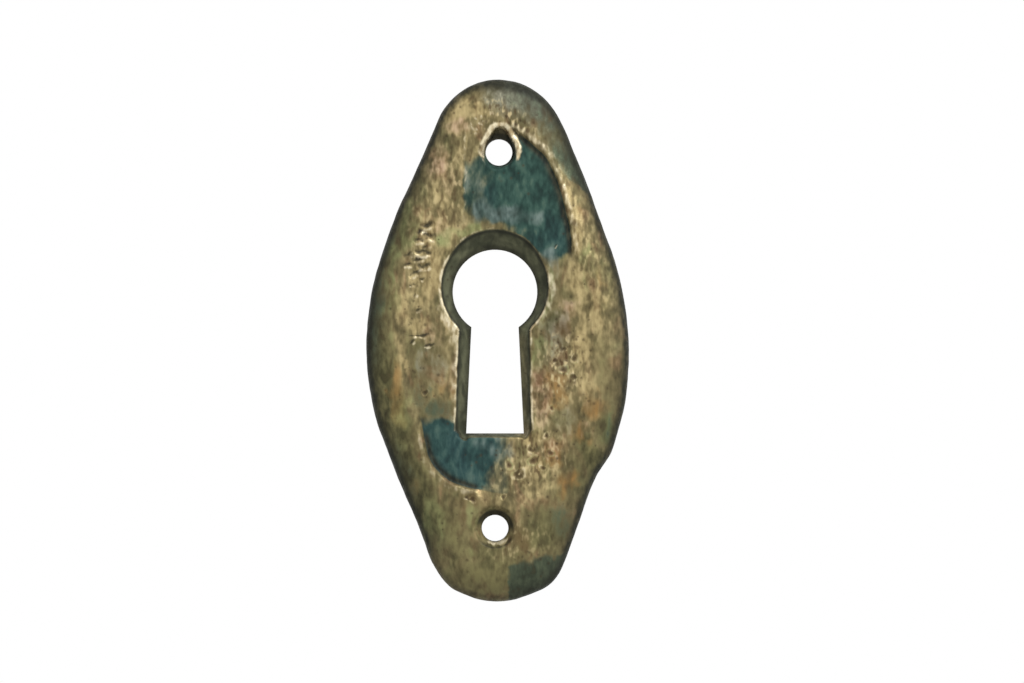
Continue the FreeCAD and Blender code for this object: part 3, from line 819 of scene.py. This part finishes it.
class Paint:
    """The material's masks at some points of the surface, by name. The front's points bring their Front."""

    def __init__(self, points, front=None):
        self.points = points
        self.front = front
        self.rough = ragged(points, 0.42, 1.5, 20)
        self.fine = ragged(points, 0.12, 0.5, 30)
        self.speckle = fractal(points, 0.55, 3, SEED + 21)
        self.edge = front.edge if front else mix(0.45, 2.2, smooth_step(-0.5, -0.1, points[:, 1]))
        field = front.field if front else field_distance(points)
        self.in_field = 1.0 - smooth_step(-0.12, 0.10, field)
        self.masks = {name: patches(self.rough, table) for name, table in PATCHES.items()}
        for name in ("edge", "dirt_and_shade", "polish_and_highlight", "rust", "bevel", "black"):
            self.masks[name] = np.zeros(len(points))
        self.lay_crust()
        self.darken_shoulder()
        self.darken_edge()
        if front:
            self.draw_lip()
            self.draw_holes()
            self.draw_wear()
            self.draw_keyhole()
        else:
            self.stain_back()

    def lift(self, name, values):
        """Raise a mask to the given values where it is lower."""
        self.masks[name] = np.maximum(self.masks[name], values)

    def lay_crust(self):
        """The two sheets of teal crust in the field, and the grey bloom where they are thin."""
        rough = self.rough
        x, z = rough[:, 0], rough[:, 2]
        upper = past(self.fine, -3.28, 15.0, 0, 0.25) * self.in_field
        upper *= past(rough, -3.3, 17.4, -67, 0.7) * past(rough, -1.4, 11.7, 60, 0.9)
        upper *= smooth_step(6.9, 9.7, z + 0.15 * x + 1.6 * fractal(self.points, 1.7, 3, SEED + 27))
        upper *= past(rough, 7.2, 9.0, 135, 0.6) * (1.0 - 0.85 * blot(rough, 0.2, 10.6, 1.2, 0.8))
        lower = self.in_field * past(self.fine, 1.2, -12.0, 180, 0.6) * past(rough, -5.5, -7.7, -84, 1.0)
        lower *= mix(0.48, 1.0, past(rough, -0.3, -12.2, 153, 0.9))
        greyer = np.maximum.reduce([
            upper * past(rough, -0.7, 15.0, 180, 1.4),
            lower * past(rough, -0.7, -12.0, 0, 0.6),
            lower * past(rough, -6.5, -8.5, 158, 0.9),
            0.6 * upper * blot(rough, 1.5, 10.6, 3.5, 1.0, -10),
        ])
        covered = np.clip(upper + lower, 0.0, 1.0)
        thin = smooth_step(-0.2, 0.5, fractal(self.points, 1.8, 2, SEED + 22))
        self.masks["teal"] = covered * (1.0 - 0.34 * greyer) * (1.0 - 0.12 * thin)
        self.lift("bloom", 0.42 * covered * greyer)
        self.lift("blue", 0.75 * lower)

    def darken_shoulder(self):
        """Dark green patina on the rim: its upper right, right of its foot, and a tongue into the field."""
        rough = self.rough
        x, z = rough[:, 0], rough[:, 2]
        width = mix(2.7, 1.3, smooth_step(21.0, 15.0, z))
        shoulder = (1.0 - self.in_field) * smooth_step(width + 1.0, width - 0.8, self.edge)
        shoulder *= smooth_step(-1.0, 3.0, x) * past(self.fine, 7.6, 15.1, 58, 0.25)
        self.lift("green", shoulder * mix(0.62, 1.0, smooth_step(20.0, 16.5, z)))
        self.lift("green", past(self.fine, 1.13, -24.0, 0, 0.25) * past(rough, 3.3, -21.5, -72, 0.5))
        self.lift("green", 0.64 * self.in_field * blot(rough, -5.6, -6.8, 1.9, 1.1))
        self.lift("grey", 0.50 * shoulder)
        self.masks["flecks"] *= 1.0 - 0.8 * shoulder

    def darken_edge(self):
        """The dark band along the rim's edge, which is wider on some sides than on others: grime, and painted
        shade where the rim rounds away.
        """
        x, z = self.points[:, 0], self.points[:, 2]
        left = smooth_step(1.0, -4.0, x)
        crown = smooth_step(-2.0, 1.0, x) * smooth_step(19.0, 22.0, z)
        bright_crown = smooth_step(19.0, 21.5, z) * smooth_step(0.0, -1.5, x)
        width = mix(mix(1.6, 2.3, smooth_step(5.0, 2.0, z)), mix(2.5, 3.0, smooth_step(-6.0, -10.0, z)), left)
        width = mix(mix(width, 3.0, crown), 1.1, bright_crown)
        brow = smooth_step(22.6, 24.0, z) * smooth_step(-2.8, -1.2, x)
        band = smooth_step(width, 0.2, self.edge + 0.20 * self.speckle)
        brink = smooth_step(mix(0.85, 1.40, brow), mix(0.30, 0.65, brow), self.edge)
        foot = np.maximum(smooth_step(-23.0, -25.0, z), left * smooth_step(-19.5, -22.0, z))
        # grime and painted shade, darkest at the outline
        self.masks["edge"] = (0.55 * band + 0.45 * brink) * (1.0 - 0.35 * foot)

    def draw_lip(self):
        """The field's lip: a bright line where it is crisp, worn metal with a painted highlight, gold metal
        beside it, and under it a dark line of grime and painted shade.
        """
        front, z = self.front, self.points[:, 2]
        # painted highlight on the crest of the crisp lip, over worn metal
        line = ridge(front.field - 0.46, 0.32) * smooth_step(0.35, 0.95, front.crisp + 0.15 * self.speckle)
        line *= mix(0.50, 0.43, smooth_step(0.0, 5.0, z)) + 0.10 * self.speckle
        line *= mix(1.0, 0.55, smooth_step(-14.3, -12.8, z) * smooth_step(0.0, -3.0, z))
        line *= mix(1.0, 0.60, smooth_step(-12.0, -14.0, z))
        self.lift("polish_and_highlight", line)
        beside = ridge(front.field - 0.70, 0.60) * front.crisp
        self.lift("gold", beside * smooth_step(5.0, 8.0, z) * smooth_step(16.5, 14.0, z))
        # grime and painted shade at the foot of the lip
        self.lift("dirt_and_shade", 0.95 * ridge(front.field + 0.26, 0.34) * smooth_step(0.3, 0.8, front.crisp))

    def draw_holes(self):
        """The notch and the screw holes: painted shade inside the notch and over the upper part of each
        countersink, a painted highlight on the lower part of the bottom one's with a dark line outside it,
        and bright metal along the notch's edge.
        """
        front, x, z = self.front, self.points[:, 0], self.points[:, 2]
        round_notch = ridge(front.notch - 0.40, 0.26) * smooth_step(16.8, 18.2, self.rough[:, 2])
        self.lift("polish_and_highlight", round_notch * (1.05 + 0.50 * self.speckle))
        # painted shade inside the notch
        self.lift("black", 0.85 * smooth_step(0.14, -0.06, front.notch))
        # painted shade over the upper part of each countersink
        for gap, hole, name, strength in zip(front.hole_gaps, front.holes, ("black", "dirt_and_shade"), (1.0, 0.9)):
            above = smooth_step(-0.6, 0.6, (z - hole[1]) + 0.15 * (x - hole[0]))
            self.lift(name, strength * above * smooth_step(SINK_RADIUS + 0.22, SINK_RADIUS, gap))
        # a painted highlight on the lower part of the bottom hole's countersink, and a dark line just outside
        # it
        gap, hole = front.hole_gaps[0], front.holes[0]
        below = smooth_step(-0.8, -1.4, z - hole[1] - 0.15 * (x - hole[0]))
        self.lift("polish_and_highlight", 0.55 * below * smooth_step(1.72, 1.55, gap))
        self.lift("dirt_and_shade", 0.8 * below * ridge(gap - 1.85, 0.12))

    def draw_wear(self):
        """Pits, blisters, gouges and chips, and the straight edge of the upper crust."""
        front, rough, speckle = self.front, self.rough, self.speckle
        self.lift("polish_and_highlight", np.maximum(0.6 * front.gouge_burr, 0.27 * front.brink))
        self.lift("polish_and_highlight", patches(rough, CHIPS) * smooth_step(0.0, 0.35, speckle))
        crust_edge = 0.30 * ridge(self.fine[:, 0] + 3.12, 0.13) * smooth_step(11.2, 12.0, rough[:, 2])
        self.lift("polish_and_highlight", crust_edge * smooth_step(22.0, 21.0, rough[:, 2]))
        self.lift("gold", front.brink * (1.0 + 0.4 * speckle))
        self.lift("lime", 0.5 * front.brink)
        self.lift("dirt_and_shade", np.maximum(front.gouge, 0.9 * front.pit))
        self.lift("rust", front.pit * np.maximum(0.50, patches(rough, RUSTY_PITS)))
        self.lift("rust", patches(rough, RUST))

    def draw_keyhole(self):
        """The keyhole: its bevel with dark lines of painted shade and stains, kept lighter low on the right
        as painted light, and rubbed metal with painted highlights round it.
        """
        front, points = self.front, self.points
        beyond = front.key_gap - front.bevel_width
        # rubbed metal and a painted highlight along the keyhole's rim, and painted highlight bands beside it
        shine = np.maximum(0.42, patches(points, KEY_SHINE))
        shine *= 1.0 - 0.85 * smooth_step(-8.9, -9.3, points[:, 2])
        shine *= 1.0 - 0.75 * blot(points, 2.0, 9.6, 4.0, 2.6)
        self.lift("polish_and_highlight", shine * ridge(beyond - 0.11, 0.13))
        self.lift("polish_and_highlight", 0.66 * ridge(beyond - 0.50, 0.50) * blot(points, -4.4, 1.5, 1.6, 1.8, 30))
        self.lift("polish_and_highlight", 0.385 * ridge(beyond - 0.3, 0.35) * blot(points, -3.9, -3.0, 0.9, 4.6))
        right_highlight_band = ridge(beyond - 0.30, 0.36) * blot(points, 5.3, 4.4, 1.3, 3.2)
        self.lift("polish_and_highlight", 0.44 * right_highlight_band)
        self.lift("lime", 1.1 * right_highlight_band)

        # painted light: low on the right the bevel is kept lighter, with fewer dark lines and stains; the
        # dark lines near its top and by the opening are painted shade
        right = smooth_step(0.8, 2.2, points[:, 0]) * smooth_step(1.5, -0.5, points[:, 2])
        tread = np.clip(front.key_gap / front.bevel_width, 0.0, 1.2)
        inner_line = 0.75 * smooth_step(0.38, 0.12, tread) * (1.0 - right)
        lines = np.maximum(ridge(tread - 0.90, 0.11), inner_line) * (0.95 + 0.15 * self.speckle)
        stains = 0.4 * smooth_step(0.0, 0.6, fractal(points, 1.1, 2, SEED + 26)) * (1.0 - right)
        bevel = smooth_step(0.06, -0.06, beyond) * (1.0 - 0.7 * blot(points, 3.0, -9.5, 0.9, 1.2))
        self.lift("black", np.maximum(lines, stains) * bevel)
        self.masks["bevel"] = bevel * (1.0 - 0.32 * right * smooth_step(0.85, 0.45, tread))
        for name in ("teal", "bloom", "gold", "pink", "orange", "olive", "grey", "flecks", "lime"):
            self.masks[name] *= smooth_step(-0.06, 0.06, beyond)

    def stain_back(self):
        """The walls lose the bright masks on their way back, and the back has a few faint stains."""
        depth = self.points[:, 1]
        for name in ("teal", "bloom", "gold", "pink", "orange", "flecks", "lime"):
            self.masks[name] *= smooth_step(-0.1, -1.2, depth)
        on_back = smooth_step(-0.6, -0.1, depth)
        for name, strength, low, high, size, seed in BACK_STAINS:
            stains = smooth_step(low, high, fractal(self.points, size, 3, SEED + seed))
            self.masks[name] += strength * on_back * stains


# the mesh

def wall_rows(loop, top_heights, first_of_top, first_new, first_of_back):
    """Points and quads of the wall under an outline, from its front edge down to the back."""
    rows = max(2, int(round(top_heights.mean() / WALL_STEP)))
    count = len(loop)
    levels = [np.arange(count) + first_of_top]
    points = []
    for row in range(1, rows):
        height = top_heights * (1.0 - row / rows)
        points.append(np.column_stack([loop[:, 0], -height, loop[:, 1]]))
        levels.append(np.arange(count) + first_new + (row - 1) * count)
    levels.append(np.arange(count) + first_of_back)
    quads = []
    for upper, lower in zip(levels, levels[1:]):
        quads.append(np.column_stack([upper, lower, np.roll(lower, -1), np.roll(upper, -1)]))
    return np.concatenate(points), np.concatenate(quads)


def front_sheet(loops, bevel):
    """Points and triangles of the front, and what is known about its points."""
    rows = [loops[0] + inward(loops[0]) * offset for offset in OUTLINE_ROWS]
    for share, beyond in BEVEL_ROWS:
        rows.append(loops[1] + inward(loops[1]) * (share * bevel[0] + beyond)[:, None])
    rows += [loop + inward(loop) * offset for loop in loops[2:] for offset in HOLE_ROWS]
    rows += [field_ring(offset, FRONT_STEP) for offset in FIELD_ROWS]
    places, faces = spread(loops, rows, FRONT_STEP, 0.78)
    front = Front(places, loops, bevel)
    on_loop = np.arange(len(places)) < sum(len(loop) for loop in loops)
    near_hole = np.minimum(*front.hole_gaps) < 2.3
    points = front.points.copy()
    points[:, 1] = -softened(front.height, faces, 2, on_loop | near_hole)
    return points, faces, front


def back_sheet(loops):
    """Points and triangles of the back, a few hundredths of a millimetre hollow here and there."""
    places, faces = spread(loops, [], BACK_STEP, 0.8)
    points = flat(places)
    hollow = 0.02 + 0.03 * fractal(points, 4.0, 3, SEED + 40) + 0.012 * fractal(points, 0.9, 2, SEED + 41)
    inner = np.arange(len(points)) >= sum(len(loop) for loop in loops)
    points[:, 1] = -np.clip(hollow, 0.0, 1.0) * inner
    return points, faces[:, ::-1]


def placed(name, data, place=(0.0, 0.0, 0.0)):
    """A new object in the scene, its place in millimetres."""
    made = bpy.data.objects.new(name, data)
    made.location = Vector(place) * MM
    bpy.context.scene.collection.objects.link(made)
    return made


def make_plate():
    """The worn plate: the front and the back, with a wall between them along each outline."""
    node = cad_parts[NODE]
    loops = [resampled(loop, FRONT_STEP) for loop in back_loops(node)]
    bevel = keyhole_bevel(loops[1], node)
    loops[0] = knocked(loops[0])
    points, faces, front = front_sheet(loops, bevel)
    back, back_faces = back_sheet(loops)
    sets = [points, back]
    corners = faces.tolist() + (back_faces + len(points)).tolist()
    total = len(points) + len(back)
    first = 0
    for loop in loops:
        tops = -points[first:first + len(loop), 1]
        new, quads = wall_rows(loop, tops, first, total, len(points) + first)
        sets.append(new)
        corners += quads[:, ::-1].tolist()
        total += len(new)
        first += len(loop)
    everything = np.concatenate(sets)

    mesh = bpy.data.meshes.new("worn_plate")
    mesh.from_pydata((everything * MM).tolist(), [], corners)
    paints = [Paint(points, front), Paint(everything[len(points):])]
    for name, names in ATTRIBUTES.items():
        layer = mesh.attributes.new(name, "FLOAT_COLOR", "POINT")
        masks = [np.concatenate([paint.masks[mask] for paint in paints]) for mask in names]
        values = np.clip(np.column_stack(masks), 0.0, 1.0)
        layer.data.foreach_set("color", values.astype(np.float32).ravel())
    mesh.shade_smooth()
    mesh.set_sharp_from_angle(angle=math.radians(SHARP_ANGLE))
    return placed("worn_plate", mesh)


# the material

def linear(red, green, blue):
    """A colour given in sRGB steps of 0 to 255."""
    return tuple(mix(c / 12.92, ((c + 0.055) / 1.055) ** 2.4, float(c > 0.04045))
                 for c in (red / 255, green / 255, blue / 255)) + (1.0,)


class Nodes:
    """Short ways to add the nodes of a material or a world."""

    def __init__(self, owner):
        self.owner = owner
        owner.use_nodes = True
        self.tree = owner.node_tree
        self.tree.nodes.clear()

    def add(self, kind, inputs, **settings):
        """A new node. Its inputs, by name or number, are sockets or values."""
        node = self.tree.nodes.new(kind)
        for key, value in settings.items():
            setattr(node, key, value)
        for key, source in inputs.items():
            if isinstance(source, bpy.types.NodeSocket):
                self.tree.links.new(source, node.inputs[key])
            else:
                node.inputs[key].default_value = source
        return node

    def noise(self, where, scale, detail=3.0, roughness=0.55, distortion=0.0):
        inputs = {"Vector": where, "Scale": scale, "Detail": detail}
        inputs |= {"Roughness": roughness, "Distortion": distortion}
        return self.add("ShaderNodeTexNoise", inputs).outputs["Fac"]

    def math(self, operation, a, b, clamp=False):
        return self.add("ShaderNodeMath", {0: a, 1: b}, operation=operation, use_clamp=clamp).outputs[0]

    def plus(self, a, b):
        return self.math("ADD", a, b)

    def times(self, a, b):
        return self.math("MULTIPLY", a, b)

    def highest(self, first, *others):
        for other in others:
            first = self.math("MAXIMUM", first, other)
        return first

    def between(self, value, low, high, to_low=0.0, to_high=1.0):
        inputs = dict(enumerate((value, low, high, to_low, to_high)))
        return self.add("ShaderNodeMapRange", inputs, interpolation_type="SMOOTHSTEP").outputs[0]

    def broken(self, mask, texture, amount, low, high, full=0.35):
        """A mask with its edge broken up by a texture, and nothing where the mask is nothing."""
        swing = self.times(self.math("SUBTRACT", texture, 0.5), amount)
        share = self.between(self.plus(mask, swing), low, high)
        return self.times(share, self.between(mask, 0.02, full))

    def ramp(self, value, stops):
        node = self.add("ShaderNodeValToRGB", {"Fac": value})
        elements = node.color_ramp.elements
        while len(elements) < len(stops):
            elements.new(0.5)
        for element, (position, colour) in zip(elements, stops):
            element.position = position
            element.color = colour
        return node.outputs["Color"]

    def tones(self, value, *stops):
        """A ramp whose stops are each a position and a colour in sRGB steps."""
        return self.ramp(value, [(position, linear(*steps)) for position, *steps in stops])

    def blend(self, share, a, b):
        return self.add("ShaderNodeMix", {"Factor": share, 6: a, 7: b}, data_type="RGBA").outputs[2]

    def masks(self, name):
        """The four masks that a colour attribute holds."""
        node = self.add("ShaderNodeAttribute", {}, attribute_name=name)
        split = self.add("ShaderNodeSeparateColor", {0: node.outputs["Color"]})
        return [*split.outputs, node.outputs["Alpha"]]

    def surface(self, inputs):
        """The material, its shader fed with these inputs."""
        shader = self.add("ShaderNodeBsdfPrincipled", inputs)
        self.add("ShaderNodeOutputMaterial", {"Surface": shader.outputs["BSDF"]})
        return self.owner


def aged_brass():
    """Cast brass, then its tones, crust, bloom, grime with painted shade and rubbed metal with painted
    highlights over it, each where its mask lets it show.
    """
    n = Nodes(bpy.data.materials.new("aged_brass"))
    metres = n.add("ShaderNodeTexCoord", {}).outputs["Object"]
    where = n.add("ShaderNodeVectorMath", {0: metres, "Scale": 1.0 / MM}, operation="SCALE").outputs[0]
    upright = n.add("ShaderNodeMapping", {"Vector": where, "Scale": (1.0, 1.0, 0.50)}).outputs[0]

    teal, bloom, green, grey = n.masks("patina")
    gold, olive, orange, pink = n.masks("tones")
    edge, dirt_and_shade, polish_and_highlight, rust = n.masks("wear_and_painted_light")
    bevel, black, blue, flecks = n.masks("places")
    lime = n.masks("greens")[0]

    broad = n.noise(upright, 0.40, 2.0, 0.5)
    hue = n.noise(upright, 0.70, 2.0, 0.5, 0.5)
    middle = n.noise(upright, 0.95, 1.5, 0.5, 0.5)
    fine = n.noise(upright, 2.6, 1.0, 0.45)
    speck = n.noise(where, 5.5, 1.0, 0.5)
    mottle = n.plus(n.times(middle, 0.62), n.times(fine, 0.38))

    # bare metal, with reddish, olive and brown clouds in it
    metal = n.tones(mottle, (0.28, 80, 72, 47), (0.42, 107, 97, 65), (0.50, 126, 114, 79),
                    (0.58, 143, 130, 92), (0.72, 168, 154, 112))
    for cloud, low, high, most, texture, dark, pale in [
            (hue, 0.52, 0.72, 0.55, fine, (108, 80, 54), (166, 134, 100)),
            (hue, 0.48, 0.28, 0.55, fine, (74, 74, 46), (140, 136, 92)),
            (broad, 0.45, 0.70, 0.4, middle, (70, 62, 40), (126, 112, 76))]:
        share = n.between(cloud, low, high, 0.0, most)
        metal = n.blend(share, metal, n.tones(texture, (0.30, *dark), (0.70, *pale)))

    # tones: mask, texture of its edge, from and to on the mask, texture of its colours, dark and pale colour
    for mask, breaker, low, high, texture, dark, pale in [
            (olive, mottle, 0.15, 1.0, mottle, (0.38, 62, 60, 35), (0.62, 118, 112, 75)),
            (gold, mottle, 0.35, 1.1, mottle, (0.32, 134, 118, 78), (0.66, 184, 166, 120)),
            (orange, middle, 0.25, 1.2, middle, (0.34, 108, 80, 42), (0.66, 146, 112, 64)),
            (pink, mottle, 0.30, 1.2, fine, (0.36, 124, 92, 74), (0.62, 186, 156, 132)),
            (grey, mottle, 0.20, 1.0, mottle, (0.34, 74, 74, 60), (0.66, 136, 133, 113)),
            (lime, middle, 0.20, 1.2, mottle, (0.34, 80, 86, 48), (0.66, 142, 147, 98)),
            (green, mottle, 0.15, 0.95, mottle, (0.34, 42, 50, 38), (0.66, 82, 90, 70))]:
        metal = n.blend(n.broken(mask, breaker, 1.6, low, high), metal, n.tones(texture, dark, pale))
    # bright specks: painted glints over the flecked metal; then dark specks
    metal = n.blend(n.times(flecks, n.between(fine, 0.55, 0.72)), metal, linear(194, 176, 132))
    gloom = n.times(n.times(flecks, n.between(fine, 0.43, 0.30)), 0.8)
    metal = n.blend(gloom, metal, linear(74, 54, 34))

    # teal crust and grey bloom
    crust = n.tones(mottle, (0.30, 24, 43, 39), (0.45, 36, 62, 55), (0.55, 49, 77, 68), (0.72, 75, 98, 84))
    bluer = n.tones(mottle, (0.30, 24, 45, 48), (0.50, 39, 67, 69), (0.70, 72, 95, 91))
    crust = n.blend(n.times(blue, n.between(broad, 0.30, 0.55, 0.95, 0.6)), crust, bluer)
    pale = n.tones(mottle, (0.32, 54, 66, 60), (0.50, 86, 102, 97), (0.68, 122, 136, 131))
    teal_share = n.broken(teal, mottle, -0.6, 0.15, 0.78)
    bloom_share = n.broken(bloom, middle, 1.2, 0.28, 1.12)
    colour = n.blend(bloom_share, n.blend(teal_share, metal, crust), pale)

    # dark places: the bevel, grime with painted shade, rust, grime with painted shade along the edge, and
    # black of painted shade and stains; then rubbed metal with painted highlights over everything
    colour = n.blend(n.times(bevel, 0.97), colour, n.tones(middle, (0.35, 56, 59, 44), (0.65, 90, 92, 70)))
    colour = n.blend(n.times(dirt_and_shade, 0.95), colour, n.tones(fine, (0.35, 22, 21, 14), (0.65, 50, 47, 32)))
    colour = n.blend(n.times(rust, 0.6), colour, linear(82, 58, 33))
    # grime and painted shade along the rim's edge
    colour = n.blend(n.times(edge, n.between(fine, 0.3, 0.65, 1.0, 0.88)), colour, linear(31, 33, 24))
    colour = n.blend(n.times(black, 0.9), colour, linear(26, 27, 19))
    # rubbed metal and painted highlights
    shine = n.broken(polish_and_highlight, fine, 0.7, 0.12, 0.90, 0.2)
    colour = n.blend(shine, colour, n.tones(fine, (0.35, 176, 158, 122), (0.6, 226, 214, 182)))

    covered = n.highest(teal_share, bloom_share, dirt_and_shade, edge, bevel, black)
    bare = n.math("SUBTRACT", 1.0, covered, clamp=True)
    metallic = n.highest(n.times(bare, n.between(mottle, 0.35, 0.7, 0.2, 0.6)), shine)
    roughness = n.plus(n.between(mottle, 0.3, 0.7, 0.62, 0.44), n.times(covered, 0.14))
    roughness = n.math("SUBTRACT", roughness, n.times(shine, 0.16))
    relief = n.plus(n.times(fine, 0.75), n.times(speck, 0.2))
    relief = n.plus(relief, n.times(n.times(covered, middle), 0.7))
    bump = n.add("ShaderNodeBump", {"Strength": 0.6, "Distance": 0.12 * MM, "Height": relief})
    return n.surface({"Base Color": colour, "Metallic": metallic, "Roughness": roughness,
                      "Normal": bump.outputs["Normal"], "Specular IOR Level": 0.2})


# the stage

def pale_floor():
    """A floor well below the plate."""
    mesh = bpy.data.meshes.new("floor")
    corners = [(x, y, FLOOR_LEVEL * MM) for x, y in ((-0.5, -0.7), (0.5, -0.7), (0.5, 0.1), (-0.5, 0.1))]
    mesh.from_pydata(corners, [], [(0, 1, 2, 3)])
    n = Nodes(bpy.data.materials.new("pale_floor"))
    texture = n.noise(n.add("ShaderNodeTexCoord", {}).outputs["Object"], 6.0, 2.0)
    colour = n.ramp(texture, [(0.3, (0.80, 0.80, 0.79, 1)), (0.7, (0.84, 0.84, 0.83, 1))])
    mesh.materials.append(n.surface({"Base Color": colour, "Roughness": 0.8}))
    floor = placed("floor", mesh)


def light_world():
    """White behind the plate and in its reflections, and a soft grey light on it."""
    world = bpy.data.worlds.new("studio")
    n = Nodes(world)
    rays = n.add("ShaderNodeLightPath", {}).outputs
    seen = n.highest(*[rays[f"Is {kind} Ray"] for kind in ("Camera", "Glossy", "Transmission")])
    level = n.add("ShaderNodeMapRange", {"Value": seen, "To Min": SKY_LIGHT, "To Max": 1.0}).outputs[0]
    sky = n.add("ShaderNodeBackground", {"Color": (1.0, 1.0, 1.0, 1.0), "Strength": level})
    n.add("ShaderNodeOutputWorld", {"Surface": sky.outputs[0]})
    bpy.context.scene.world = world


def soft_lamp(name, place, size, power):
    """A round lamp that looks at the plate's middle."""
    lamp = bpy.data.lights.new(name, "AREA")
    lamp.shape = "DISK"
    lamp.size = size * MM
    lamp.energy = power
    placed(name, lamp, place).rotation_euler = (-Vector(place)).to_track_quat("-Z", "Y").to_euler()


def set_camera():
    """Square on to the plate, placed so that the plate fills the frame as in the photograph."""
    camera = bpy.data.cameras.new("camera")
    camera.sensor_width = 36.0
    to_plate = -CAMERA_PLACE[1] - 1.0
    camera.lens = PIXELS_PER_MM * camera.sensor_width * to_plate / PICTURE_WIDTH
    camera.clip_start = 0.01
    camera_object = placed("camera", camera, CAMERA_PLACE)
    camera_object.rotation_euler = (math.radians(90), 0.0, 0.0)
    bpy.context.scene.camera = camera_object


plate = make_plate()
plate.data.materials.append(aged_brass())
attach(plate, "root")
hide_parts(NODE)

pale_floor()
light_world()
for lamp_settings in LAMPS:
    soft_lamp(*lamp_settings)
set_camera()
bpy.context.scene.view_settings.view_transform = "Standard"
